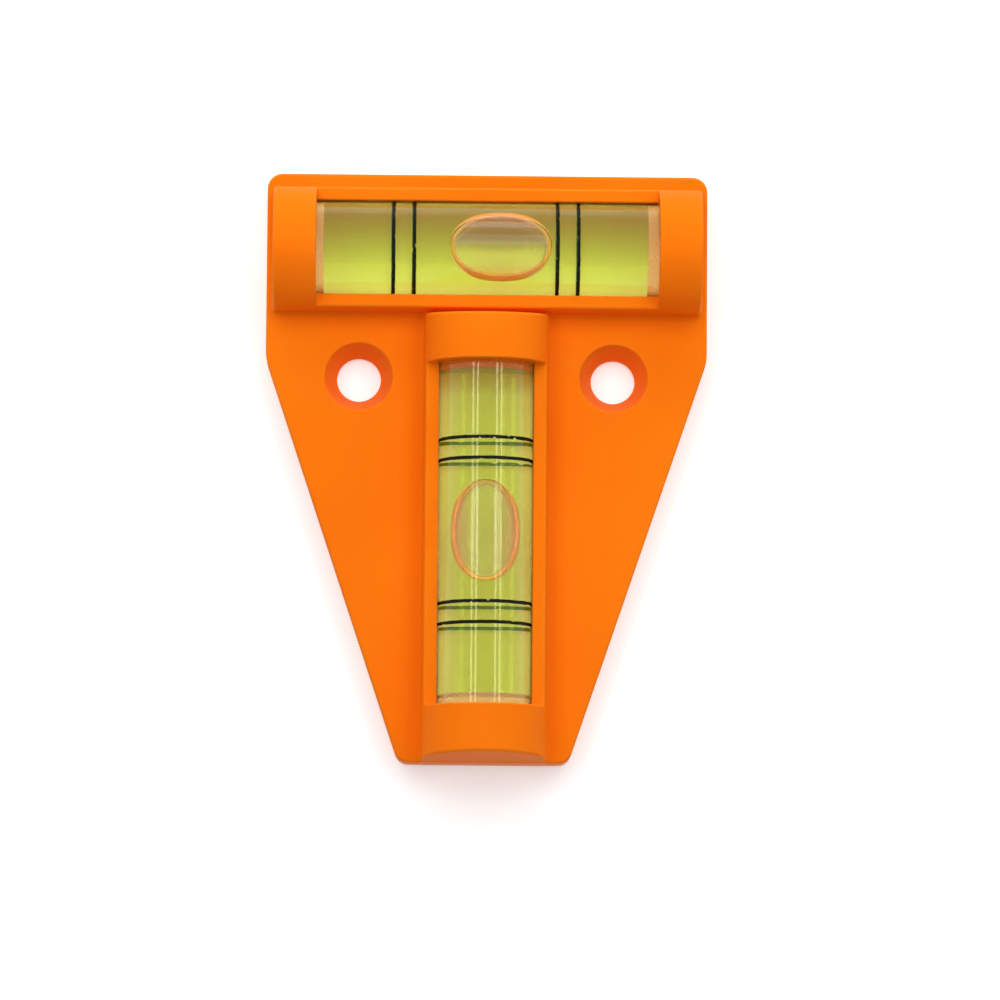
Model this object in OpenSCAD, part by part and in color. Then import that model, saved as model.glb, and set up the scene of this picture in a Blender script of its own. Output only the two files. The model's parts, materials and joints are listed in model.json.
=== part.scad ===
// Cross spirit level: a T-shaped plate with a cross vial along X in its head and a long vial along Y in
// its stem. It lies on its back, with the back face at Z = 0 and the head towards +Y.
// Every length is in millimetres.

/* [Plate] */
// Length of the plate from the head edge to the foot edge
plate_length = 70; // [66:1:84]
// Width of the head of the T
head_width = 52.3; // [51.5:0.5:64]
// Width of the foot of the T, at its corners before they are rounded
foot_width = 20; // [17:0.5:26]
// Distance from the head edge to the shoulders, where the sides begin to taper
head_depth = 22.15; // [20:0.5:26]
// Thickness of the plate
plate_height = 4.5; // [3.5:0.1:5.5]
// Radius of the two head corners
head_corner_r = 1.8; // [0.5:0.1:3]
// Radius of the two foot corners
foot_corner_r = 1.75; // [0.5:0.1:2.5]
// Radius of the two shoulders
shoulder_r = 6; // [2:0.5:10]

/* [Screw holes] */
// Distance between the two screw holes
screw_spacing = 30.2; // [27:0.1:33]
// Distance from the head edge to the screw holes
screw_from_head = 24.25; // [23:0.25:28]
// Diameter of the screw holes
screw_d = 5.2; // [3.5:0.1:6]
// Diameter of the tapered seat at the front face
seat_d = 8.1; // [7:0.1:9]
// Length of the straight bore left under the tapered seat
screw_land = 0.9; // [0.5:0.1:1.5]

/* [Barrels] */
// Outer diameter of both half-round barrels
barrel_d = 14.7; // [14:0.1:15.5]
// Height of both vial axes above the back face
axis_height = 6.15; // [5.9:0.05:6.6]
// Height of the side walls between the collars, above the vial axes
wall_rise = 2; // [1:0.1:3]
// Distance from the head edge to the axis of the cross barrel
cross_from_head = 9.3; // [8.5:0.1:10]
// Wall of the cross barrel past each end of its pocket
cross_end_wall = 2.8; // [1.5:0.1:3.2]
// Length of each vial's end that a collar covers
collar_cover = 2; // [1.5:0.1:3]
// Distance from the head edge to the middle of the long barrel's window
long_from_head = 43.22; // [43:0.02:43.6]
// Wall of the long barrel past the head end of its pocket, along its crown
long_head_wall = 3.15; // [2:0.05:3.3]
// Wall of the long barrel past the foot end of its pocket, along its crown
long_foot_wall = 3.4; // [2:0.05:3.9]
// Slope of the long barrel's two end faces, in degrees from upright
end_slope = 5; // [0:0.5:8]

/* [Vials] */
// Outer diameter of the clear tubes
vial_d = 11.1; // [10:0.1:11.5]
// Overall length of the clear tubes
vial_length = 44.4; // [42:0.2:45]
// Wall thickness of the clear tubes
tube_wall = 1; // [0.7:0.05:1.3]
// Length of the end plugs
plug_length = 3.1; // [2:0.1:4]
// Side gap between a tube and its pocket
seat_gap = 0.1; // [0.06:0.02:0.3]
// End gap between a tube in mid pocket and each end of its pocket
end_gap = 0.3; // [0.25:0.05:0.5]
// Distance that the cross vial sits off the middle of its window, towards -X
cross_vial_shift = 0.2; // [0:0.05:0.25]
// Distance that the long vial sits off the middle of its window, towards the head
long_vial_shift = 0.2; // [0:0.05:0.25]
// Diameter of the dish in the outer face of each end plug
plug_dish_d = 5; // [3:0.5:7]
// Depth of the dish in the outer face of each end plug
plug_dish_depth = 1; // [0.4:0.1:1.6]

/* [Graduations] */
// Distance from the middle of a vial to its inner line
inner_line_at = 8.44; // [7:0.02:9.5]
// Distance from an inner line to the outer line beside it
line_pitch = 2.45; // [1.5:0.05:3.5]
// Width of a printed line along the vial
line_width = 0.42; // [0.3:0.02:0.6]
// Thickness of a printed line
ink_thickness = 0.04; // [0.03:0.01:0.05]

/* [Bubbles] */
// Length of each air bubble
bubble_length = 12; // [8:0.2:14]
// Depth that a bubble hangs down from the ceiling of its tube
bubble_depth = 4.1; // [3:0.1:4.2]
// Radius of a bubble's rounded underside, across the vial
bubble_round_r = 3.9; // [3.2:0.1:4]
// Distance that the cross bubble rests off the middle of its vial, towards +X
cross_bubble_rest = 1.76; // [0:0.02:3]
// Distance that the long bubble rests off the middle of its vial, towards the head
long_bubble_rest = 0; // [0:0.02:3]
// Gap between a bubble and the bore of its tube
bubble_gap = 0.1; // [0.08:0.01:0.2]
// Thickness of the boundary between a bubble and the liquid round it
bubble_skin = 0.05; // [0.03:0.01:0.06]

/* [Glue] */
// Length of each glue bead along its vial
glue_length = 1.8; // [1:0.1:2]
// Height of the glue beads up the pocket wall, from their underside
glue_height = 2.6; // [1.5:0.1:3.5]
// Distance that the glue beads stay behind the back face
glue_setback = 0.3; // [0.1:0.05:0.4]

/* [Hidden] */
$fn = 96;

// One overrun for every cut
overrun = 1;
head_y = plate_length / 2;
foot_y = -plate_length / 2;
shoulder_y = head_y - head_depth;
screw_y = head_y - screw_from_head;
cross_y = head_y - cross_from_head;
long_y = head_y - long_from_head;
barrel_r = barrel_d / 2;
vial_r = vial_d / 2;
bore_r = vial_r - tube_wall;
pocket_r = vial_r + seat_gap;
pocket_length = vial_length + 2 * end_gap;
window_length = vial_length - 2 * collar_cover;
liquid_length = vial_length - 2 * plug_length;
cross_barrel_length = pocket_length + 2 * cross_end_wall;
crown_height = axis_height + barrel_r;
outer_line_at = inner_line_at + line_pitch;
// Ends of the long barrel's crown, measured from the middle of its window
long_crown_head = pocket_length / 2 + long_head_wall;
long_crown_foot = pocket_length / 2 + long_foot_wall;
// Ceiling of the space that a bubble moves in, and the height of its rounding centre above the vial axis
ceiling_r = bore_r - bubble_gap;
bubble_centre = ceiling_r - bubble_depth + bubble_round_r;
// Squareness of a bubble's outline: 2 is an ellipse, and more is fuller at the ends
bubble_fullness_share = 2.3;
bubble_steps = 20;

// Corners of the plate, each with the radius that rounds it
plate_corners = [
    [head_width / 2, head_y, head_corner_r],
    [-head_width / 2, head_y, head_corner_r],
    [-head_width / 2, shoulder_y, shoulder_r],
    [-foot_width / 2, foot_y, foot_corner_r],
    [foot_width / 2, foot_y, foot_corner_r],
    [head_width / 2, shoulder_y, shoulder_r]
];

function flat_point(corner) = [corner[0], corner[1]];
function unit(v) = v / norm(v);
function corner_at(i) = plate_corners[(i + len(plate_corners)) % len(plate_corners)];
function toward(i, step) = unit(flat_point(corner_at(i + step)) - flat_point(corner_at(i)));
function half_angle(i) = acos(toward(i, 1) * toward(i, -1)) / 2;
function tangent_point(i, step) =
    flat_point(corner_at(i)) + toward(i, step) * corner_at(i)[2] / tan(half_angle(i));
function round_centre(i) =
    flat_point(corner_at(i)) + unit(toward(i, 1) + toward(i, -1)) * corner_at(i)[2] / sin(half_angle(i));

// Power of a number that keeps its sign
function signed_power(value, exponent) = sign(value) * pow(abs(value), exponent);

// Half outline of a bubble turned about its long axis, grown by a skin
function bubble_outline(skin) = [
    for (i = [0 : bubble_steps])
        let (angle = 180 * i / bubble_steps - 90)
        [
            (bubble_round_r + skin) * signed_power(cos(angle), 2 / bubble_fullness_share),
            (bubble_length / 2 + skin) * signed_power(sin(angle), 2 / bubble_fullness_share)
        ]
];

// Places what follows with its axis along the cross barrel, from the middle of the window
module along_cross(shift = 0) {
    translate([shift, cross_y, axis_height])
        children();
}

// Places what follows with its axis along the long barrel, its +X turned towards the head
module along_long(shift = 0) {
    translate([0, long_y + shift, axis_height])
        rotate([0, 0, 90])
            children();
}

// Round bar along X, from one place to another
module bar(radius, from_x, to_x) {
    translate([from_x, 0, 0])
        rotate([0, 90, 0])
            cylinder(h = to_x - from_x, r = radius);
}

// Block from its lowest to its highest corner
module block(low, high) {
    translate(low)
        cube(high - low);
}

module plate_outline() {
    last = len(plate_corners) - 1;
    polygon([for (i = [0 : last]) for (step = [-1, 1]) tangent_point(i, step)]);
    for (i = [0 : last])
        translate(round_centre(i))
            circle(r = corner_at(i)[2]);
}

// Half-round crown on upright sides, from the back face up
module barrel(from_x, to_x) {
    intersection() {
        bar(barrel_r, from_x, to_x);
        block([from_x, -barrel_r, 0], [to_x, barrel_r, barrel_r + overrun]);
    }
    block([from_x, -barrel_r, -axis_height], [to_x, barrel_r, 0]);
}

// What an end face that leans in takes off above the plate, past the crown's end at place_x
module end_lean(place_x, direction) {
    translate([place_x, 0, barrel_r])
        rotate([0, direction * end_slope, 0])
            block(
                [min(0, direction * barrel_d), -barrel_d, -2 * barrel_d],
                [max(0, direction * barrel_d), barrel_d, barrel_d]
            );
}

module long_barrel() {
    end_run = (crown_height - plate_height) * tan(end_slope);
    difference() {
        barrel(-long_crown_foot - end_run, long_crown_head + end_run);
        end_lean(-long_crown_foot, -1);
        end_lean(long_crown_head, 1);
    }
}

// Takes the crown off a barrel between its collars, which leaves two side walls
module without_crown() {
    difference() {
        children();
        block(
            [-window_length / 2, -barrel_r - overrun, wall_rise],
            [window_length / 2, barrel_r + overrun, barrel_r + overrun]
        );
    }
}

// Pocket for a vial, open at the back, with its window at the front
module pocket() {
    bar(pocket_r, -pocket_length / 2, pocket_length / 2);
    block(
        [-pocket_length / 2, -pocket_r, -axis_height - overrun],
        [pocket_length / 2, pocket_r, 0]
    );
    block(
        [-window_length / 2, -pocket_r, 0],
        [window_length / 2, pocket_r, wall_rise + overrun]
    );
}

module screw_hole() {
    translate([0, 0, -overrun])
        cylinder(h = plate_height + 2 * overrun, d = screw_d);
    // The taper runs on past the front face at the same angle
    taper = (seat_d - screw_d) / (plate_height - screw_land);
    translate([0, 0, screw_land])
        cylinder(
            h = plate_height - screw_land + overrun,
            d1 = screw_d,
            d2 = seat_d + taper * overrun
        );
}

module housing() {
    color("darkorange")
        difference() {
            union() {
                linear_extrude(plate_height)
                    plate_outline();
                along_cross()
                    without_crown()
                        barrel(-cross_barrel_length / 2, cross_barrel_length / 2);
                along_long()
                    without_crown()
                        long_barrel();
            }
            along_cross()
                pocket();
            along_long()
                pocket();
            for (side = [-1, 1])
                translate([side * screw_spacing / 2, screw_y, 0])
                    screw_hole();
        }
}

module tube() {
    color("lightcyan", 0.4)
        difference() {
            bar(vial_r, -vial_length / 2, vial_length / 2);
            bar(bore_r, -vial_length / 2 - overrun, vial_length / 2 + overrun);
        }
}

// End plug, with its dished face outwards
module plug(side) {
    color("wheat")
        rotate([0, side * 90, 0])
            translate([0, 0, liquid_length / 2])
                difference() {
                    cylinder(h = plug_length, r = bore_r);
                    translate([0, 0, plug_length - plug_dish_depth])
                        cylinder(h = plug_dish_depth + overrun, d = plug_dish_d);
                }
}

// Long rounded body under the ceiling of the bore
module bubble_form(rest, skin) {
    intersection() {
        bar(ceiling_r + skin, -liquid_length / 2, liquid_length / 2);
        translate([rest, 0, bubble_centre])
            rotate([0, 90, 0])
                rotate_extrude()
                    polygon(bubble_outline(skin));
    }
}

module liquid(rest) {
    color("yellowgreen", 0.6)
        difference() {
            bar(bore_r, -liquid_length / 2, liquid_length / 2);
            bubble_form(rest, bubble_skin);
        }
}

module bubble(rest) {
    color("lightyellow", 0.5)
        bubble_form(rest, 0);
}

// Printed ring round the tube
module line(place) {
    color("black")
        translate([place, 0, 0])
            difference() {
                bar(vial_r + ink_thickness, -line_width / 2, line_width / 2);
                bar(vial_r, -line_width / 2 - overrun, line_width / 2 + overrun);
            }
}

// Bead that fills the pocket under one end of a tube
module glue(side) {
    color("khaki", 0.8)
        difference() {
            block(
                [
                    min(side * vial_length / 2, side * (vial_length / 2 - glue_length)),
                    -pocket_r,
                    glue_setback - axis_height
                ],
                [
                    max(side * vial_length / 2, side * (vial_length / 2 - glue_length)),
                    pocket_r,
                    glue_setback - axis_height + glue_height
                ]
            );
            bar(vial_r, -vial_length / 2 - overrun, vial_length / 2 + overrun);
        }
}

housing();
along_cross(-cross_vial_shift) tube();  // cross_tube
along_cross(-cross_vial_shift) plug(-1);  // cross_plug_left
along_cross(-cross_vial_shift) plug(1);  // cross_plug_right
along_cross(-cross_vial_shift) liquid(cross_bubble_rest);  // cross_liquid
along_cross(-cross_vial_shift) bubble(cross_bubble_rest);  // cross_bubble
along_cross(-cross_vial_shift) line(-outer_line_at);  // cross_line_1
along_cross(-cross_vial_shift) line(-inner_line_at);  // cross_line_2
along_cross(-cross_vial_shift) line(inner_line_at);  // cross_line_3
along_cross(-cross_vial_shift) line(outer_line_at);  // cross_line_4
along_cross(-cross_vial_shift) glue(-1);  // cross_glue_left
along_cross(-cross_vial_shift) glue(1);  // cross_glue_right
along_long(long_vial_shift) tube();  // long_tube
along_long(long_vial_shift) plug(-1);  // long_plug_foot
along_long(long_vial_shift) plug(1);  // long_plug_head
along_long(long_vial_shift) liquid(long_bubble_rest);  // long_liquid
along_long(long_vial_shift) bubble(long_bubble_rest);  // long_bubble
along_long(long_vial_shift) line(-outer_line_at);  // long_line_1
along_long(long_vial_shift) line(-inner_line_at);  // long_line_2
along_long(long_vial_shift) line(inner_line_at);  // long_line_3
along_long(long_vial_shift) line(outer_line_at);  // long_line_4
along_long(long_vial_shift) glue(-1);  // long_glue_foot
along_long(long_vial_shift) glue(1);  // long_glue_head
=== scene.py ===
"""Cross spirit level: an orange T-shaped moulding with a vial in its head and one in its stem.

Sizes are in millimetres and become metres where a mesh is made. The frame gives what it holds: the
vials, plugs, bubbles, glue and screw holes. The rest of the moulding's sizes are named here.
"""

import json
import math
from collections import namedtuple
from functools import cached_property

import bmesh
import bpy
import numpy as np
from mathutils import Matrix, Vector


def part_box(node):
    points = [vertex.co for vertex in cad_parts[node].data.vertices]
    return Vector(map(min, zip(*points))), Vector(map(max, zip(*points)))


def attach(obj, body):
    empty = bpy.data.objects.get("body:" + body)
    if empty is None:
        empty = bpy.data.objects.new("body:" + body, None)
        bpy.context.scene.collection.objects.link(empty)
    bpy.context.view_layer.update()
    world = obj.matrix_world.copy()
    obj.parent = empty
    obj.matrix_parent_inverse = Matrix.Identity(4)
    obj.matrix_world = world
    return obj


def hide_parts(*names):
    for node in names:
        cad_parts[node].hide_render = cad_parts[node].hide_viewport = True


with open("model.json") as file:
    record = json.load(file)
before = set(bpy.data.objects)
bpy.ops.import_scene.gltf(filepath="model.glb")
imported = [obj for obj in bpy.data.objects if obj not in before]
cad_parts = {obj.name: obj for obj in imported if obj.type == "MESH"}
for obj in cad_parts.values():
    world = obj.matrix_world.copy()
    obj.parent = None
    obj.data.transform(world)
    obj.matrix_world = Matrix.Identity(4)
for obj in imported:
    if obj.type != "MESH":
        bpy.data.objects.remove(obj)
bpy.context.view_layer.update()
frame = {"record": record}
MM = 0.001


# Sizes that the frame holds

def node_box(node):
    """Lowest corner, highest corner, middle and size of a CAD node, in millimetres."""
    low, high = (np.array(corner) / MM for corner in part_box(node))
    return low, high, (low + high) / 2, high - low


HOUSING_LOW, HOUSING_HIGH, _, _ = node_box("housing")
TUBE_SIZE = node_box("cross_tube")[3]
LIQUID_SIZE = node_box("cross_liquid")[3]
PLUG_LENGTH = node_box("cross_plug_left")[3][0]
BUBBLE_SIZE = node_box("cross_bubble")[3]
GLUE_SIZE = node_box("cross_glue_left")[3]
GLUE_LOW = node_box("cross_glue_left")[0][2]
LINE_WIDTH = node_box("cross_line_1")[3][0]
VIAL_LENGTH = TUBE_SIZE[0]
VIAL_R = TUBE_SIZE[2] / 2
LIQUID_LENGTH = LIQUID_SIZE[0]
BORE_R = LIQUID_SIZE[2] / 2
SCREWS = next(m for m in frame["record"]["mounts"] if m["name"] == "screw_holes")
SCREW_X = SCREWS["dims"]["spacing_x_mm"] / 2
SCREW_Y = SCREWS["pos_m"][1] / MM
SCREW_R = SCREWS["dims"]["hole_r_mm"]

# The moulding's own sizes
PLATE_HEIGHT = 4.5
FOOT_WIDTH = 20.0
HEAD_DEPTH = 22.15
HEAD_CORNER_R = 1.8
SHOULDER_R = 6.0
FOOT_CORNER_R = 1.75
BARREL_R = 7.35
WALL_RISE = 2.0
SEAT_GAP = 0.02
END_GAP = 0.3
COLLAR_COVER = 2.0
CROSS_END_WALL = 2.8
LONG_HEAD_WALL = 3.15
LONG_FOOT_WALL = 3.4
END_SLOPE = math.radians(5)
LONG_FROM_HEAD = 43.22
SEAT_R = 4.05
SCREW_LAND = 0.9
AXIS_HEIGHT = HOUSING_HIGH[2] - BARREL_R
CROSS_Y = node_box("cross_tube")[2][1]
LONG_Y = HOUSING_HIGH[1] - LONG_FROM_HEAD
POCKET_R = VIAL_R + SEAT_GAP
POCKET_HALF = VIAL_LENGTH / 2 + END_GAP
WINDOW_HALF = VIAL_LENGTH / 2 - COLLAR_COVER

# Radii that a mould leaves on edges and in corners
OUTER_EDGE_R = 0.35
TOP_EDGE_R = 0.22
SMALL_EDGE_R = 0.12
FILLET_R = 0.45

# Grid steps of the sculpted pieces, and the tiles in which the housing's flat faces are merged
HOUSING_CELL = 0.2
BUBBLE_CELL = 0.12
GLUE_CELL = 0.1
TILE = 4.0
FLAT_ANGLE = math.radians(0.5)

# Steps round a vial, and the angle from which an edge is kept sharp
VIAL_SEGMENTS = 144
SHARP_ANGLE = math.radians(35)

# Forms inside the vials
TUBE_EDGE_R = 0.15
BUBBLE_GAP = 0.1
BUBBLE_HALF_WIDTH = 3.68
BUBBLE_BELLY = 2.1
BUBBLE_FULLNESS = 2.15
MENISCUS_R = 0.5
PLUG_EDGE_R = 0.25
PLUG_DISH_R = 2.5
PLUG_DISH_DEPTH = 1.0
GLUE_EDGE_R = 0.35
GLUE_SAG = 0.315
TOUCH_GAP = 0.01

# Printed rings: the waves and chips of their edges, their narrowest place, and how far the ink's
# inner and outer sides stand off the glass. A chip's width is in radians, its depth in half widths.
LINE_SEGMENTS = 360
LINE_WAVES = (3, 7, 19, 41, 83)
LINE_WAVE_HEIGHT = 0.012
LINE_EVEN_SHARE = 0.97
LINE_CHIPS = 7
CHIP_WIDTHS = (0.01, 0.035)
CHIP_DEPTHS = (0.4, 1.25)
LINE_NARROWEST = 0.03
LINE_LIFT = 0.002
INK_TOP = 0.03

# How the clear pieces bend light, one against the other where they touch
ACRYLIC_IOR = 1.49
LIQUID_IOR = 1.37
GLUE_IOR = 1.5
LIQUID_IN_ACRYLIC = LIQUID_IOR / ACRYLIC_IOR
AIR_IN_LIQUID = 1 / LIQUID_IOR
PLUG_IN_ACRYLIC = 1.04

Vial = namedtuple("Vial", "name centre turned ends")
CROSS = Vial("cross", node_box("cross_tube")[2], False, ("left", "right"))
LONG = Vial("long", node_box("long_tube")[2], True, ("foot", "head"))
VIALS = (CROSS, LONG)


# Meshes

def in_place(points, vial):
    """Points along a vial's own axis, moved to where that vial lies. Still in millimetres."""
    points = np.asarray(points, float)
    if vial.turned:
        points = np.stack([-points[:, 1], points[:, 0], points[:, 2]], 1)
    return points + vial.centre


def new_object(name, data):
    """Object of a mesh, a lamp or a camera, in the scene."""
    item = bpy.data.objects.new(name, data)
    bpy.context.scene.collection.objects.link(item)
    return item


def make_object(name, points, faces, materials):
    """Smooth-shaded mesh object from points in millimetres, with its steep edges kept sharp."""
    mesh = bpy.data.meshes.new(name)
    mesh.from_pydata((np.asarray(points) * MM).tolist(), [], [list(f) for f in faces])
    mesh.validate()
    mesh.shade_smooth()
    mesh.set_sharp_from_angle(angle=SHARP_ANGLE)
    for material in materials:
        mesh.materials.append(material)
    return new_object(name, mesh)


def meet(a, b, radius):
    """What two distance fields share, with the edge between them rounded."""
    outside = np.hypot(np.maximum(a + radius, 0), np.maximum(b + radius, 0))
    return np.minimum(np.maximum(a, b), -radius) + outside


def join(a, b, radius):
    """What either of two distance fields holds, with a fillet in the corner between them."""
    inside = np.hypot(np.maximum(radius - a, 0), np.maximum(radius - b, 0))
    return np.maximum(np.minimum(a, b), radius) - inside


def corner(a, b, turn, radius):
    """Distance from two flat sides that meet at a turn, with their corner rounded."""
    u, v = a + radius, b + radius
    c, s = math.cos(turn), math.sin(turn)
    rounded = np.sqrt(np.maximum(u * u + v * v - 2 * u * v * c, 0)) / s - radius
    return np.where((u > v * c) & (v > u * c), rounded, np.maximum(a, b))


def gradient(form, points, step=0.002):
    """Direction in which a distance field grows, at each point."""
    slopes = []
    for axis in range(3):
        ahead, behind = points.copy(), points.copy()
        ahead[:, axis] += step
        behind[:, axis] -= step
        slopes.append((form(*ahead.T) - form(*behind.T)) / (2 * step))
    return np.stack(slopes, 1)


def surface_of(form, low, high, cell):
    """Points and four-sided faces of the closed surface on which a distance field is zero."""
    axes = [np.arange(a - 2 * cell, b + 3 * cell, cell) for a, b in zip(low, high)]
    field = form(*np.meshgrid(*axes, indexing="ij", sparse=True))
    cells, crossings, quads = [], [], []
    for axis in range(3):
        first = np.moveaxis(field, axis, 0)[:-1]
        second = np.moveaxis(field, axis, 0)[1:]
        crossed = np.moveaxis((first < 0) != (second < 0), 0, axis)
        first, second = np.moveaxis(first, 0, axis)[crossed], np.moveaxis(second, 0, axis)[crossed]
        corners = np.stack(np.nonzero(crossed), 1)
        point = corners.astype(float)
        point[:, axis] += first / (first - second)
        around = []
        for step_b, step_c in ((-1, -1), (0, -1), (0, 0), (-1, 0)):
            cell_at = corners.copy()
            cell_at[:, (axis + 1) % 3] += step_b
            cell_at[:, (axis + 2) % 3] += step_c
            around.append(np.ravel_multi_index(cell_at.T, field.shape))
        quad = np.stack(around, 1)
        quad[first >= 0] = quad[first >= 0][:, ::-1]
        quads.append(quad)
        cells.append(np.concatenate(around))
        crossings.append(np.tile(point, (4, 1)))
    # Each point is the mean of the crossings on its cell's edges, and then moves onto the surface
    used, index = np.unique(np.concatenate(cells), return_inverse=True)
    crossings = np.concatenate(crossings)
    counts = np.bincount(index)
    points = np.stack([np.bincount(index, crossings[:, k]) / counts for k in range(3)], 1)
    points = points * cell + np.array([a[0] for a in axes])
    for _ in range(3):
        slope = gradient(form, points)
        length = np.maximum((slope ** 2).sum(1), 0.25)
        shift = form(*points.T)[:, None] * slope / length[:, None]
        points -= np.clip(shift, -cell / 2, cell / 2)
    return points, np.searchsorted(used, np.concatenate(quads))


def sculpted(name, form, low, high, cell, material, merged=False):
    """Mesh object of a distance field and shaded by it. Flat faces can be merged in tiles."""
    points, faces = surface_of(form, low, high, cell)
    mesh = bpy.data.meshes.new(name)
    mesh.from_pydata(points.tolist(), [], faces.tolist())
    if merged:
        # A passing material index keeps the faces of one tile apart from the next tile's
        tiles = np.floor(points[faces].mean(1) / TILE).astype(int) % 2 @ (1, 2, 4)
        mesh.polygons.foreach_set("material_index", tiles.astype(np.int32))
        work = bmesh.new()
        work.from_mesh(mesh)
        bmesh.ops.dissolve_limit(
            work,
            angle_limit=FLAT_ANGLE,
            verts=work.verts,
            edges=work.edges,
            delimit={"MATERIAL"},
        )
        work.to_mesh(mesh)
        work.free()
        mesh.polygons.foreach_set("material_index", np.zeros(len(mesh.polygons), np.int32))
    kept = np.empty(len(mesh.vertices) * 3)
    mesh.vertices.foreach_get("co", kept)
    kept = kept.reshape(-1, 3)
    normals = gradient(form, kept)
    normals /= np.maximum(np.linalg.norm(normals, axis=1, keepdims=True), 1e-9)
    bend = bending(form, kept)
    mesh.vertices.foreach_set("co", (kept * MM).ravel())
    mesh.update()
    mesh.shade_smooth()
    mesh.normals_split_custom_set_from_vertices(normals.tolist())
    for label, values in (("bend", bend), ("upward", normals[:, 2])):
        attribute = mesh.attributes.new(label, "FLOAT", "POINT")
        attribute.data.foreach_set("value", values.astype(np.float32))
    mesh.materials.append(material)
    return new_object(name, mesh)


def bending(form, points, reach=0.15):
    """How sharply a surface bends at each point: above zero on edges, below zero in fillets."""
    total = -6 * form(*points.T)
    for axis in range(3):
        for step in (-reach, reach):
            moved = points.copy()
            moved[:, axis] += step
            total = total + form(*moved.T)
    return np.clip(total / reach, -1, 1)


def lathed(name, profile, vial, materials, second_from=None):
    """Closed mesh of a profile of (place along the axis, radius), turned round a vial's axis.

    The stretch of the profile that starts at second_from has the second material.
    """
    angles = np.arange(VIAL_SEGMENTS) * 2 * math.pi / VIAL_SEGMENTS
    points, rings = [], []
    for along, radius in profile:
        start = len(points)
        if radius == 0:
            points.append((along, 0, 0))
            rings.append([start] * VIAL_SEGMENTS)
        else:
            points += [(along, radius * math.cos(t), radius * math.sin(t)) for t in angles]
            rings.append(list(range(start, start + VIAL_SEGMENTS)))
    faces, slots = [], []
    for i in range(len(rings) - 1):
        for j in range(VIAL_SEGMENTS):
            k = (j + 1) % VIAL_SEGMENTS
            face = [rings[i][j], rings[i][k], rings[i + 1][k], rings[i + 1][j]]
            faces.append(list(dict.fromkeys(face)))
            slots.append(int(i == second_from))
    piece = make_object(name, in_place(points, vial), faces, materials)
    piece.data.polygons.foreach_set("material_index", slots)
    return piece


def rounded_profile(points, radius, steps=5):
    """Profile whose inner corners are cut by small arcs."""
    out = [points[0]]
    for before, at, after in zip(points, points[1:], points[2:]):
        at, before, after = (np.array(p, float) for p in (at, before, after))
        to_before = (before - at) / np.linalg.norm(before - at)
        to_after = (after - at) / np.linalg.norm(after - at)
        for i in range(steps + 1):
            t = i / steps
            a, b = at + to_before * radius, at + to_after * radius
            out.append(tuple((1 - t) ** 2 * a + 2 * t * (1 - t) * at + t * t * b))
    out.append(points[-1])
    return out


# Materials

class Nodes:
    """Nodes of a material or of the world, with short ways to add and join them.

    Where an input is named in a call, an underscore stands for a space.
    """

    def __init__(self, tree):
        self.tree = tree

    def put(self, value, socket):
        """Gives an input the output of another node, or a number or a colour of its own."""
        if isinstance(value, bpy.types.NodeSocket):
            self.tree.links.new(value, socket)
        elif socket.type == "RGBA":
            socket.default_value = (*value, 1)
        else:
            socket.default_value = value

    def add(self, kind, **values):
        """New node, with its settings and inputs."""
        node = self.tree.nodes.new(kind)
        for key, value in values.items():
            if key in node.bl_rna.properties:
                setattr(node, key, value)
            else:
                self.put(value, node.inputs[key.replace("_", " ")])
        return node

    @cached_property
    def place(self):
        """Place on the piece itself, in metres."""
        return self.add("ShaderNodeTexCoord").outputs["Object"]

    def attribute(self, name):
        """Value that the mesh holds at each of its points."""
        return self.add("ShaderNodeAttribute", attribute_name=name).outputs["Fac"]

    def noise(self, scale, detail=3.0, roughness=0.5):
        """Noise of so many features a metre, fixed to the piece."""
        values = {"Scale": scale, "Detail": detail, "Roughness": roughness}
        return self.add("ShaderNodeTexNoise", Vector=self.place, **values).outputs["Fac"]

    def ramp(self, value, low, high, out_low, out_high):
        """A value's range mapped to another, and held at its ends."""
        ends = {"From_Min": low, "From_Max": high, "To_Min": out_low, "To_Max": out_high}
        return self.add("ShaderNodeMapRange", Value=value, **ends).outputs["Result"]

    def calculate(self, operation, first, second=None):
        """Result of a calculation with one or two values, each a number or a socket."""
        node = self.add("ShaderNodeMath", operation=operation)
        self.put(first, node.inputs[0])
        if second is not None:
            self.put(second, node.inputs[1])
        return node.outputs["Value"]

    def blend(self, factor, first, second):
        """Colour between two, each a colour or a socket."""
        node = self.add("ShaderNodeMix", data_type="RGBA", Factor=factor, A=first, B=second)
        return node.outputs["Result"]


class Look(Nodes):
    """New material, with ways to set its Principled shader."""

    def __init__(self, name):
        self.material = bpy.data.materials.new(name)
        self.material.use_nodes = True
        super().__init__(self.material.node_tree)
        self.shader = self.tree.nodes["Principled BSDF"]
        self.output = self.tree.nodes["Material Output"]

    def shade(self, **values):
        """Sets inputs of the shader."""
        for key, value in values.items():
            self.put(value, self.shader.inputs[key.replace("_", " ")])

    def bump(self, height, distance, strength):
        """Small relief on the shader, on top of an earlier one if there is one."""
        values = {"Height": height, "Distance": distance, "Strength": strength}
        node = self.add("ShaderNodeBump", **values)
        earlier = self.shader.inputs["Normal"].links
        if earlier:
            self.put(earlier[0].from_socket, node.inputs["Normal"])
        self.shade(Normal=node.outputs["Normal"])

    def let_lamps_through(self, tint):
        """Lets lamp light straight through, tinted, so that a clear piece casts no solid shadow."""
        through = self.add("ShaderNodeBsdfTransparent", Color=tint)
        path = self.add("ShaderNodeLightPath")
        mix = self.add("ShaderNodeMixShader", Fac=path.outputs["Is Shadow Ray"])
        self.put(self.shader.outputs["BSDF"], mix.inputs[1])
        self.put(through.outputs["BSDF"], mix.inputs[2])
        self.put(mix.outputs["Shader"], self.output.inputs["Surface"])


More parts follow.
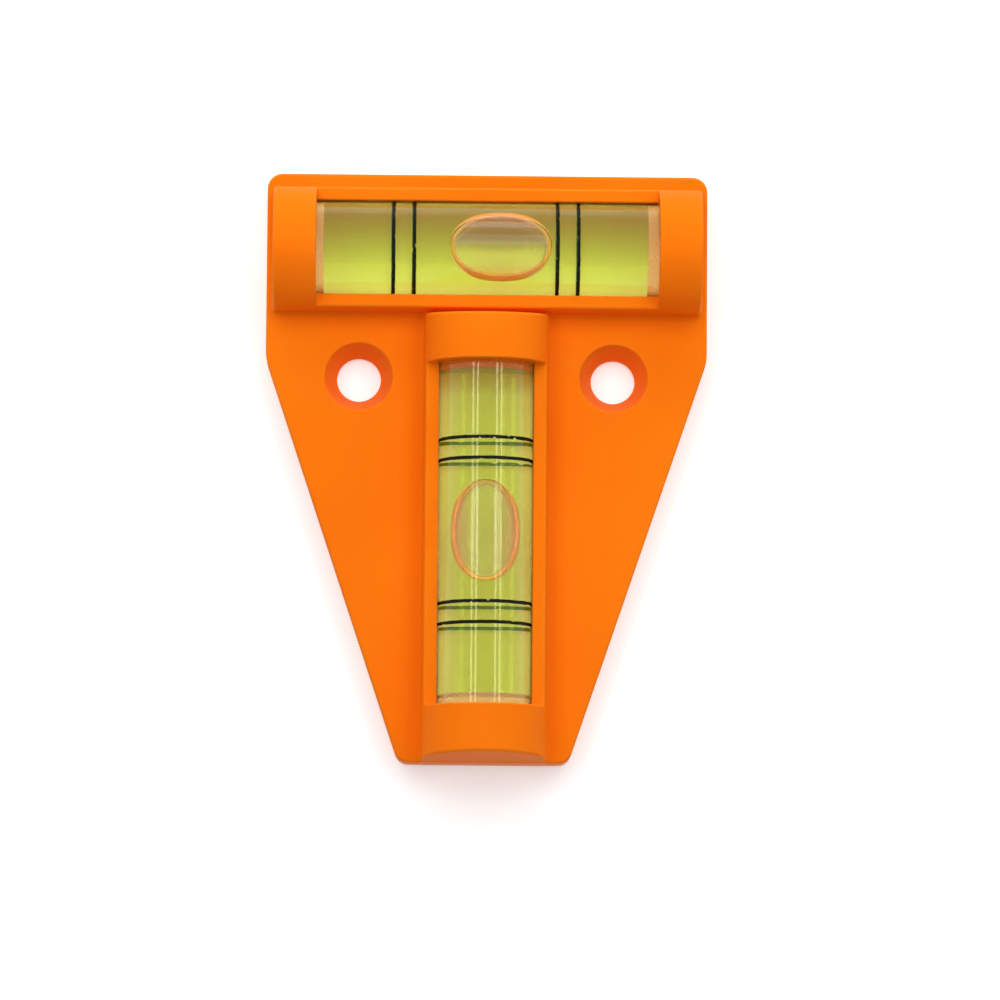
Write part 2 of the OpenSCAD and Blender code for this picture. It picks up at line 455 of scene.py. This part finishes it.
def housing_plastic():
    """Satin moulded orange with faint flow marks, a fine grain, and paler patches on its outer
    edges.
    """
    look = Look("housing_plastic")
    bend = look.attribute("bend")
    flow = look.ramp(look.noise(70, 2.0, 0.45), 0.3, 0.7, 0, 1)
    base = look.blend(flow, (0.95, 0.18, 0.0045), (0.98, 0.205, 0.006))
    patches = look.ramp(look.noise(260, 4.0), 0.35, 0.6, 0.25, 1)
    # Paler in patches along the outer edges
    paler_edges = look.calculate("MULTIPLY", look.ramp(bend, 0.12, 0.6, 0, 0.35), patches)
    grain = look.ramp(look.noise(1500, 2.0), 0.3, 0.7, 0.4, 0.5)
    smoother = look.ramp(bend, 0.1, 0.6, 0, 0.12)
    look.shade(
        Base_Color=look.blend(paler_edges, base, (1.0, 0.27, 0.016)),
        Roughness=look.calculate("SUBTRACT", grain, smoother),
        Specular_IOR_Level=0.018,
        Specular_Tint=(1.0, 0.45, 0.12),
    )
    look.bump(look.noise(110, 1.0), 0.00004, 0.5)
    look.bump(look.noise(3800, 3.0, 0.6), 0.000012, 0.6)
    return look.material


def clear_acrylic():
    """Outer wall of a vial: clear, polished, with a few faint drawing marks along it."""
    look = Look("clear_plastic")
    look.shade(
        Base_Color=(0.99, 1.0, 0.985),
        Transmission_Weight=1,
        Roughness=look.ramp(look.noise(900), 0.45, 0.8, 0, 0.012),
        IOR=ACRYLIC_IOR,
        Specular_Tint=(1.0, 0.97, 0.6),
    )
    look.bump(look.noise(160, 1.0), 0.00002, 0.12)
    look.let_lamps_through((0.8, 0.8, 0.77))
    return look.material


def wetted_wall():
    """Bore of a vial where plug or liquid fills it, so that no air gap shows between them."""
    look = Look("wetted_wall")
    look.shade(Alpha=0, Roughness=0)
    return look.material


def lime_liquid():
    """Clear lime liquid: blue is lost in it first, then a little red. It has a faint painted glow.
    """
    look = Look("liquid")
    look.shade(Base_Color=(1, 1, 1), Transmission_Weight=1, Roughness=0, IOR=LIQUID_IN_ACRYLIC)
    lost = look.add("ShaderNodeVolumeAbsorption", Color=(0.627, 0.765, 0.02), Density=255)
    # The emission is a painted glow: the liquid shines faintly though it is no lamp
    painted_glow = look.add("ShaderNodeEmission", Color=(0.62, 1.0, 0.04), Strength=13.0)
    absorbed_and_painted_glow = look.add("ShaderNodeAddShader")
    look.put(lost.outputs["Volume"], absorbed_and_painted_glow.inputs[0])
    look.put(painted_glow.outputs["Emission"], absorbed_and_painted_glow.inputs[1])
    look.put(absorbed_and_painted_glow.outputs["Shader"], look.output.inputs["Volume"])
    look.let_lamps_through((0.99, 0.99, 0.99))
    return look.material


def bubble_air():
    """Air in the liquid, with painted reflections of the orange housing in its steep rim and sides.
    """
    look = Look("bubble")
    upward = look.attribute("upward")
    above_belly = look.calculate("POWER", look.ramp(upward, -0.97, -0.6, 0, 1), 1.6)
    # Painted reflection of the orange housing: full in the steep rim, weaker on the sides
    rim = look.calculate("MULTIPLY", look.ramp(upward, 0.64, 0.52, 0, 1), above_belly)
    side = look.calculate("MULTIPLY", look.ramp(upward, 0.92, 0.58, 0, 0.8), above_belly)
    tint = look.calculate("MAXIMUM", rim, side)
    look.shade(
        # Elsewhere the air has a faint painted pink tint; the painted rim is also rougher and less
        # clear
        Base_Color=look.blend(tint, (1.0, 0.92, 0.95), (1.0, 0.28, 0.03)),
        Transmission_Weight=look.ramp(rim, 0, 1, 1, 0.15),
        Roughness=look.ramp(rim, 0, 1, 0, 0.3),
        IOR=AIR_IN_LIQUID,
    )
    look.let_lamps_through((1, 1, 1))
    return look.material


def plug_plastic():
    """Soft milky plug: lets some light through, with a fine moulded grain."""
    look = Look("plug_plastic")
    look.shade(
        Base_Color=look.blend(look.noise(500), (0.78, 0.64, 0.24), (0.84, 0.74, 0.36)),
        Transmission_Weight=0.92,
        Roughness=look.ramp(look.noise(900), 0.3, 0.7, 0.25, 0.4),
        IOR=PLUG_IN_ACRYLIC,
    )
    look.bump(look.noise(1500), 0.00002, 0.5)
    look.let_lamps_through((0.6, 0.55, 0.42))
    return look.material


def printed_ink():
    """Screen-printed black, thin in places."""
    look = Look("ink")
    thin = look.ramp(look.noise(2500, 4.0), 0.45, 0.75, 0, 1)
    look.shade(
        Base_Color=look.blend(thin, (0.002, 0.003, 0.002), (0.012, 0.015, 0.008)),
        Roughness=look.ramp(look.noise(4000), 0.3, 0.7, 0.3, 0.55),
        Specular_IOR_Level=0.1,
    )
    look.bump(look.noise(6000), 0.000006, 0.6)
    return look.material


def ink_underside():
    """The same ink seen from inside, through the lime-tinted liquid."""
    look = Look("ink_underside")
    thin = look.ramp(look.noise(1800, 4.0), 0.4, 0.7, 0, 1)
    look.shade(
        Base_Color=look.blend(thin, (0.01, 0.045, 0.018), (0.02, 0.08, 0.025)),
        Roughness=look.ramp(look.noise(4000), 0.3, 0.7, 0.35, 0.6),
    )
    look.bump(look.noise(6000), 0.000006, 0.6)
    return look.material


def cured_glue():
    """Cured clear glue: slightly amber, with fine waves and trapped air."""
    look = Look("glue")
    look.shade(
        Base_Color=look.blend(look.noise(1200, 4.0), (0.93, 0.86, 0.66), (0.99, 0.96, 0.88)),
        Transmission_Weight=0.8,
        Roughness=look.ramp(look.noise(700), 0.3, 0.7, 0.08, 0.3),
        IOR=GLUE_IOR,
    )
    look.bump(look.noise(600, 2.0), 0.00008, 0.6)
    look.let_lamps_through((0.8, 0.75, 0.6))
    return look.material


# Forms

def crown_distance(across, height, radius):
    """Distance from a half-round crown on upright sides. Height is above its axis."""
    return np.hypot(across, np.maximum(height, 0)) - radius


def outline_distance(x, y):
    """Distance from the plate's outline, seen from the front. x is above zero on both sides."""
    half_head, half_foot = HOUSING_HIGH[0], FOOT_WIDTH / 2
    shoulder_y = HOUSING_HIGH[1] - HEAD_DEPTH
    lean = math.atan2(half_head - half_foot, shoulder_y - HOUSING_LOW[1])
    top = y - HOUSING_HIGH[1]
    side = x - half_head
    slant = (x - half_head) * math.cos(lean) - (y - shoulder_y) * math.sin(lean)
    foot = HOUSING_LOW[1] - y
    square = math.pi / 2
    head = corner(top, side, square, HEAD_CORNER_R)
    shoulder = corner(side, slant, lean, SHOULDER_R)
    toe = corner(slant, foot, square - lean, FOOT_CORNER_R)
    return np.maximum(np.maximum(head, shoulder), toe)


def housing_form(x, y, z):
    """Distance field of the moulding, in millimetres."""
    x = np.abs(x)
    height = z - AXIS_HEIGHT
    cross_across, along_long = np.abs(y - CROSS_Y), y - LONG_Y
    crown_height = z - HOUSING_HIGH[2]
    run = (HOUSING_HIGH[2] - PLATE_HEIGHT) * math.tan(END_SLOPE)
    long_head, long_foot = POCKET_HALF + LONG_HEAD_WALL, POCKET_HALF + LONG_FOOT_WALL

    # Barrels: the cross one has upright end faces, the long one has sloping ones
    cross = meet(
        crown_distance(cross_across, height, BARREL_R),
        x - (POCKET_HALF + CROSS_END_WALL),
        OUTER_EDGE_R,
    )
    head_end = (along_long - long_head) * math.cos(END_SLOPE) + crown_height * math.sin(END_SLOPE)
    foot_end = (-along_long - long_foot) * math.cos(END_SLOPE) + crown_height * math.sin(END_SLOPE)
    reach = np.maximum(along_long - long_head - run, -along_long - long_foot - run)
    ends = np.maximum(np.maximum(head_end, foot_end), reach)
    long = meet(crown_distance(x, height, BARREL_R), ends, OUTER_EDGE_R)

    # Between its collars each barrel is cut down to low walls
    cross_cut = meet(x - WINDOW_HALF, WALL_RISE - height, TOP_EDGE_R)
    long_cut = meet(np.abs(along_long) - WINDOW_HALF, WALL_RISE - height, TOP_EDGE_R)
    cross = meet(cross, -cross_cut, TOP_EDGE_R)
    long = meet(long, -long_cut, TOP_EDGE_R)

    plate = meet(outline_distance(x, y), z - PLATE_HEIGHT, OUTER_EDGE_R)
    solid = join(join(plate, cross, FILLET_R), long, FILLET_R)
    solid = meet(solid, HOUSING_LOW[1] - y, SMALL_EDGE_R)

    # Each pocket is open at the back, and its window at the front
    cross_pocket = meet(
        crown_distance(cross_across, height, POCKET_R), x - POCKET_HALF, SMALL_EDGE_R
    )
    long_pocket = meet(
        crown_distance(x, height, POCKET_R), np.abs(along_long) - POCKET_HALF, SMALL_EDGE_R
    )
    cross_window = np.maximum(np.maximum(cross_across - POCKET_R, x - WINDOW_HALF), -height)
    long_window = np.maximum(np.maximum(x - POCKET_R, np.abs(along_long) - WINDOW_HALF), -height)
    openings = np.minimum(
        np.minimum(cross_pocket, cross_window), np.minimum(long_pocket, long_window)
    )
    solid = meet(solid, -openings, SMALL_EDGE_R)

    # Screw holes: a straight land with a tapered seat above it
    from_screw = np.hypot(x - SCREW_X, y - SCREW_Y) - SCREW_R
    taper = (SEAT_R - SCREW_R) / (PLATE_HEIGHT - SCREW_LAND)
    seat = (from_screw - (z - SCREW_LAND) * taper) / math.hypot(1, taper)
    solid = meet(solid, -np.minimum(from_screw, seat), SMALL_EDGE_R)
    return meet(solid, -z, SMALL_EDGE_R)


def bubble_form(x, y, z):
    """Distance field of a bubble, along its vial's axis and from its own middle."""
    ceiling_r = BORE_R - BUBBLE_GAP
    widest_z = ceiling_r - BUBBLE_SIZE[2] + BUBBLE_BELLY
    along = np.abs(x) / (BUBBLE_SIZE[0] / 2)
    across = np.hypot(y / BUBBLE_HALF_WIDTH, np.minimum(z - widest_z, 0) / BUBBLE_BELLY)
    reach = (along ** BUBBLE_FULLNESS + across ** BUBBLE_FULLNESS) ** (1 / BUBBLE_FULLNESS)
    body = (reach - 1) * BUBBLE_HALF_WIDTH
    return meet(np.hypot(y, z) - ceiling_r, body, MENISCUS_R)


def glue_form(side):
    """Distance field of a glue bead under one end of a vial, along the vial's axis."""
    end, length, height = side * VIAL_LENGTH / 2, GLUE_SIZE[0], GLUE_SIZE[2]
    low = GLUE_LOW - AXIS_HEIGHT

    def form(x, y, z):
        inward = (end - x) * side
        sag = GLUE_SAG * (1 - (y / POCKET_R) ** 2)
        block = meet(np.abs(inward - length / 2) - length / 2, low + sag - z, GLUE_EDGE_R)
        block = np.maximum(block, z - low - height)
        block = np.maximum(block, np.abs(y) - (POCKET_R - 2 * TOUCH_GAP))
        return np.maximum(block, VIAL_R + TOUCH_GAP - np.hypot(y, z))

    return form


# Pieces

def own_frame(form, vial, shift=0.0):
    """A form along a vial's own axis as a form in the row frame."""

    def moved(x, y, z):
        x, y, z = x - vial.centre[0], y - vial.centre[1], z - vial.centre[2]
        return form(y - shift, -x, z) if vial.turned else form(x - shift, y, z)

    return moved


def along_vial(vial, node):
    """How far a node's middle lies from the vial's middle, along the vial."""
    axis = 1 if vial.turned else 0
    return node_box(node)[2][axis] - vial.centre[axis]


def make_housing(material):
    low, high = HOUSING_LOW, HOUSING_HIGH
    piece = sculpted(
        "housing_moulding", housing_form, low, high, HOUSING_CELL, material, merged=True
    )
    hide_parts("housing")
    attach(piece, "level")


def make_tube(vial, outer, bore):
    half, edge = VIAL_LENGTH / 2, TUBE_EDGE_R
    outside = [(-half, BORE_R + edge), (-half, VIAL_R), (half, VIAL_R), (half, BORE_R + edge)]
    profile = rounded_profile(outside, edge) + [(half - edge, BORE_R), (-half + edge, BORE_R)]
    bore_from = len(profile) - 2
    profile.append(profile[0])
    piece = lathed(f"{vial.name}_vial_tube", profile, vial, [outer, bore], second_from=bore_from)
    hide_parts(f"{vial.name}_tube")
    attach(piece, "level")


def make_liquid(vial, material):
    half, radius = LIQUID_LENGTH / 2 - TOUCH_GAP, BORE_R - TOUCH_GAP / 2
    profile = [(-half, 0), (-half, radius), (half, radius), (half, 0)]
    piece = lathed(f"{vial.name}_vial_liquid", profile, vial, [material])
    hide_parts(f"{vial.name}_liquid")
    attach(piece, "level")


def make_bubble(vial, material):
    low, high, _, _ = node_box(f"{vial.name}_bubble")
    form = own_frame(bubble_form, vial, along_vial(vial, f"{vial.name}_bubble"))
    piece = sculpted(f"{vial.name}_air_bubble", form, low, high, BUBBLE_CELL, material)
    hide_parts(f"{vial.name}_bubble")
    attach(piece, f"{vial.name}_bubble")


def make_plug(vial, side, end, material):
    inner, outer = side * LIQUID_LENGTH / 2, side * (LIQUID_LENGTH / 2 + PLUG_LENGTH)
    radius, dish = BORE_R - TOUCH_GAP, outer - side * PLUG_DISH_DEPTH
    outside = [(inner, 0), (inner, radius), (outer, radius)]
    hollow = [(outer, PLUG_DISH_R), (dish, PLUG_DISH_R), (dish, 0)]
    profile = rounded_profile(outside + hollow, PLUG_EDGE_R)
    if side < 0:
        profile = profile[::-1]
    piece = lathed(f"{vial.name}_end_plug_{end}", profile, vial, [material])
    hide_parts(f"{vial.name}_plug_{end}")
    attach(piece, "level")


def make_line(vial, number, ink, underside):
    """Printed ring with a slightly uneven edge and a few chips."""
    place = along_vial(vial, f"{vial.name}_line_{number}")
    random = np.random.default_rng(10 * number + vial.turned)
    segments = LINE_SEGMENTS
    angles = np.arange(segments) * 2 * math.pi / segments
    wobble = [np.zeros(segments), np.zeros(segments)]
    for edge in wobble:
        for waves in LINE_WAVES:
            height, phase = LINE_WAVE_HEIGHT * random.uniform(0.3, 1), random.uniform(0, 6.28)
            edge += height * np.sin(waves * angles + phase)
    half = LINE_WIDTH / 2 * LINE_EVEN_SHARE
    left, right = wobble[0] - half, wobble[1] + half
    for _ in range(LINE_CHIPS):
        chip_at, chip_width = random.uniform(0, 2 * math.pi), random.uniform(*CHIP_WIDTHS)
        apart = np.abs((angles - chip_at + math.pi) % (2 * math.pi) - math.pi)
        depth = random.uniform(*CHIP_DEPTHS) * half * np.exp(-((apart / chip_width) ** 2))
        if random.random() < 0.5:
            left += depth
        else:
            right -= depth
    right = np.maximum(right, left + LINE_NARROWEST)
    base, top = VIAL_R + LINE_LIFT, VIAL_R + INK_TOP
    points = []
    for t, a, b in zip(angles, left, right):
        for along, radius in ((a, base), (a, top), (b, top), (b, base)):
            points.append((place + along, radius * math.cos(t), radius * math.sin(t)))
    faces = []
    for i in range(segments):
        k = (i + 1) % segments
        for j in range(4):
            m = (j + 1) % 4
            faces.append((4 * i + j, 4 * k + j, 4 * k + m, 4 * i + m))
    name = f"{vial.name}_printed_line_{number}"
    piece = make_object(name, in_place(points, vial), faces, [ink, underside])
    piece.data.polygons.foreach_set("material_index", [0, 0, 0, 1] * segments)
    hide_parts(f"{vial.name}_line_{number}")
    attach(piece, "level")


def make_glue(vial, side, end, material):
    low, high, _, _ = node_box(f"{vial.name}_glue_{end}")
    form = own_frame(glue_form(side), vial)
    piece = sculpted(f"{vial.name}_glue_bead_{end}", form, low, high, GLUE_CELL, material)
    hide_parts(f"{vial.name}_glue_{end}")
    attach(piece, "level")


def make_object_pieces():
    make_housing(housing_plastic())
    outer, bore, liquid, air = clear_acrylic(), wetted_wall(), lime_liquid(), bubble_air()
    plug, ink, underside, glue = plug_plastic(), printed_ink(), ink_underside(), cured_glue()
    for vial in VIALS:
        make_tube(vial, outer, bore)
        make_liquid(vial, liquid)
        make_bubble(vial, air)
        for number in range(1, 5):
            make_line(vial, number, ink, underside)
        for side, end in zip((-1, 1), vial.ends):
            make_plug(vial, side, end, plug)
            make_glue(vial, side, end, glue)


# Stage, lights and camera

# The floor's size and place, in metres, and how bright it shows: near the object, and far from it
# where the lamps don't reach
FLOOR_HALF = 1.5
FLOOR_Z = -0.00003
FLOOR_ROUGHNESS = 0.8
FLOOR_WHITE = 0.88
FLOOR_GLOW = 0.36
FAR_GLOW = 0.9
FAR_FROM, FAR_TO = 0.3, 0.9

# Light painted on the floor under each vial, in place of the light that the vial gathers there,
# which
# Cycles doesn't trace: near white where the lamps reach in, and the orange of the moulding at the
# end or side that lies in its shade. There the floor's own colour is also lowered to FLOOR_SHADED,
# as painted shade. The shade begins and ends at these places along Y, in millimetres.
GATHERED_LIT = {"cross": (0.96, 0.5, 0.4), "long": (0.66, 0.24, 0.3)}
GATHERED_SHADED = {"cross": (0.4, 0.0, 0.0), "long": (0.5, 0.07, 0.0)}
FLOOR_SHADED = 0.25
SHADE = {
    "cross": (CROSS_Y, CROSS_Y + 2.6),
    "long": (LONG_Y + WINDOW_HALF - 3.4, LONG_Y + WINDOW_HALF),
}


def seen_directly(nodes):
    """One where the camera, a gloss or clear glass looks at a surface or the world, else zero."""
    path = nodes.add("ShaderNodeLightPath").outputs
    seen = path["Is Camera Ray"]
    for kind in ("Is Glossy Ray", "Is Transmission Ray"):
        seen = nodes.calculate("MAXIMUM", seen, path[kind])
    undiffused = nodes.calculate("LESS_THAN", path["Diffuse Depth"], 0.5)
    return nodes.calculate("MULTIPLY", seen, undiffused)


def under_vial(look, place, vial):
    """One on the floor inside a vial's pocket, and zero elsewhere."""
    reach = (POCKET_R, POCKET_HALF) if vial.turned else (POCKET_HALF, POCKET_R)
    within = []
    for axis in (0, 1):
        off = look.calculate("SUBTRACT", place.outputs[axis], vial.centre[axis] * MM)
        apart = look.calculate("ABSOLUTE", off)
        within.append(look.calculate("LESS_THAN", apart, reach[axis] * MM))
    return look.calculate("MULTIPLY", *within)


def make_floor():
    mesh = bpy.data.meshes.new("floor")
    corners = [(x * FLOOR_HALF, y * FLOOR_HALF, 0) for x, y in ((-1, -1), (1, -1), (1, 1), (-1, 1))]
    mesh.from_pydata(corners, [], [(0, 1, 2, 3)])
    floor = new_object("floor", mesh)
    floor.location.z = FLOOR_Z
    look = Look("floor")
    place = look.add("ShaderNodeSeparateXYZ", Vector=look.place)
    away = look.add("ShaderNodeVectorMath", operation="LENGTH", Vector=look.place)
    glow = look.ramp(away.outputs["Value"], FAR_FROM, FAR_TO, FLOOR_GLOW, FAR_GLOW)
    white = FLOOR_WHITE
    # Under each vial the glow is painted light, and the floor's colour is lowered as painted shade
    for vial in VIALS:
        inside = under_vial(look, place, vial)
        shade_from, shade_to = SHADE[vial.name]
        shade = look.ramp(place.outputs["Y"], shade_from * MM, shade_to * MM, 0, 1)
        gathered = look.blend(shade, GATHERED_LIT[vial.name], GATHERED_SHADED[vial.name])
        glow = look.blend(inside, glow, gathered)
        shaded = look.calculate("MULTIPLY", inside, shade)
        darker = look.ramp(shaded, 0, 1, FLOOR_WHITE, FLOOR_SHADED)
        white = look.calculate("MINIMUM", white, darker)
    below = look.add("ShaderNodeNewGeometry").outputs["Backfacing"]
    plain_below = look.calculate("MULTIPLY", below, FLOOR_WHITE)
    from_above = look.calculate("SUBTRACT", 1, below)
    look.shade(
        Base_Color=look.calculate("MAXIMUM", white, plain_below),
        Emission_Color=glow,
        Emission_Strength=look.calculate("MULTIPLY", seen_directly(look), from_above),
        Roughness=FLOOR_ROUGHNESS,
        Specular_IOR_Level=0,
    )
    mesh.materials.append(look.material)


def make_world(strength):
    """White world that lights the object less than it shows."""
    world = bpy.data.worlds.new("studio")
    bpy.context.scene.world = world
    world.use_nodes = True
    background = world.node_tree.nodes["Background"]
    nodes = Nodes(world.node_tree)
    nodes.put((1, 1, 1), background.inputs["Color"])
    level = nodes.ramp(seen_directly(nodes), 0, 1, strength, 1)
    nodes.put(level, background.inputs["Strength"])


def make_lamp(name, place, aim, size, power):
    """Soft rectangular lamp. Place, aim and size are in metres."""
    data = bpy.data.lights.new(name, "AREA")
    data.shape = "RECTANGLE"
    data.size, data.size_y = size
    data.energy = power
    lamp = new_object(name, data)
    lamp.location = place
    lamp.rotation_mode = "QUATERNION"
    lamp.rotation_quaternion = (Vector(aim) - Vector(place)).to_track_quat("-Z", "Y")
    return lamp


# Lamps: name, place, size and power, in metres and watts. The tubes make the long vial's streaks.
WORLD_LEVEL = 0.41
LAMPS = (
    ("key", (0, 0.17, 0.34), (0.55, 0.2), 0.75),
    ("low", (0, 0.24, 0.088), (0.5, 0.08), 0.34),
)
TUBE_ANGLES = (-32, -21, 25.7, 37)
TUBE_REACH = 0.55
TUBE_ALONG = 0.05
TUBE_SIZE_M = (0.04, 0.2)
TUBE_POWER = 0.15


def make_lights():
    make_world(WORLD_LEVEL)
    for name, place, size, power in LAMPS:
        make_lamp(name, place, (0, 0, 0), size, power).visible_glossy = False
    for number, angle in enumerate(math.radians(degrees) for degrees in TUBE_ANGLES):
        place = (TUBE_REACH * math.sin(angle), TUBE_ALONG, TUBE_REACH * math.cos(angle))
        lamp = make_lamp(f"tube_{number}", place, (0, TUBE_ALONG, 0), TUBE_SIZE_M, TUBE_POWER)
        lamp.rotation_quaternion = Matrix.Rotation(angle, 4, "Y").to_quaternion()


# The camera looks down from straight in front, leaning a little towards the foot and to the left
CAMERA_DISTANCE = 0.72
LEAN_LEFT = math.radians(0.656)
LEAN_FOOT = math.radians(6.479)
ROLL = math.radians(0.47)
SENSOR = 36.0
PHOTO_SIZE = 1000
FOCAL_PIXELS = 6050
ORIGIN_PIXEL = (485.0, 471.85)


def make_camera():
    sx, sy = math.sin(LEAN_LEFT), math.sin(LEAN_FOOT)
    back = Vector((-sx, -sy, math.sqrt(1 - sx * sx - sy * sy)))
    up = (Vector((0, 1, 0)) - back * back.y).normalized()
    right = up.cross(back)
    rolled_right = right * math.cos(ROLL) + up * math.sin(ROLL)
    rolled_up = up * math.cos(ROLL) - right * math.sin(ROLL)
    data = bpy.data.cameras.new("camera")
    data.sensor_width = SENSOR
    data.lens = SENSOR * FOCAL_PIXELS / PHOTO_SIZE
    data.shift_x = 0.5 - ORIGIN_PIXEL[0] / PHOTO_SIZE
    data.shift_y = ORIGIN_PIXEL[1] / PHOTO_SIZE - 0.5
    camera = new_object("camera", data)
    turn = Matrix((rolled_right, rolled_up, back)).transposed()
    camera.matrix_world = Matrix.Translation(back * CAMERA_DISTANCE) @ turn.to_4x4()
    bpy.context.scene.camera = camera


make_camera()
make_object_pieces()
make_floor()
make_lights()
bpy.context.scene.view_settings.view_transform = "Standard"
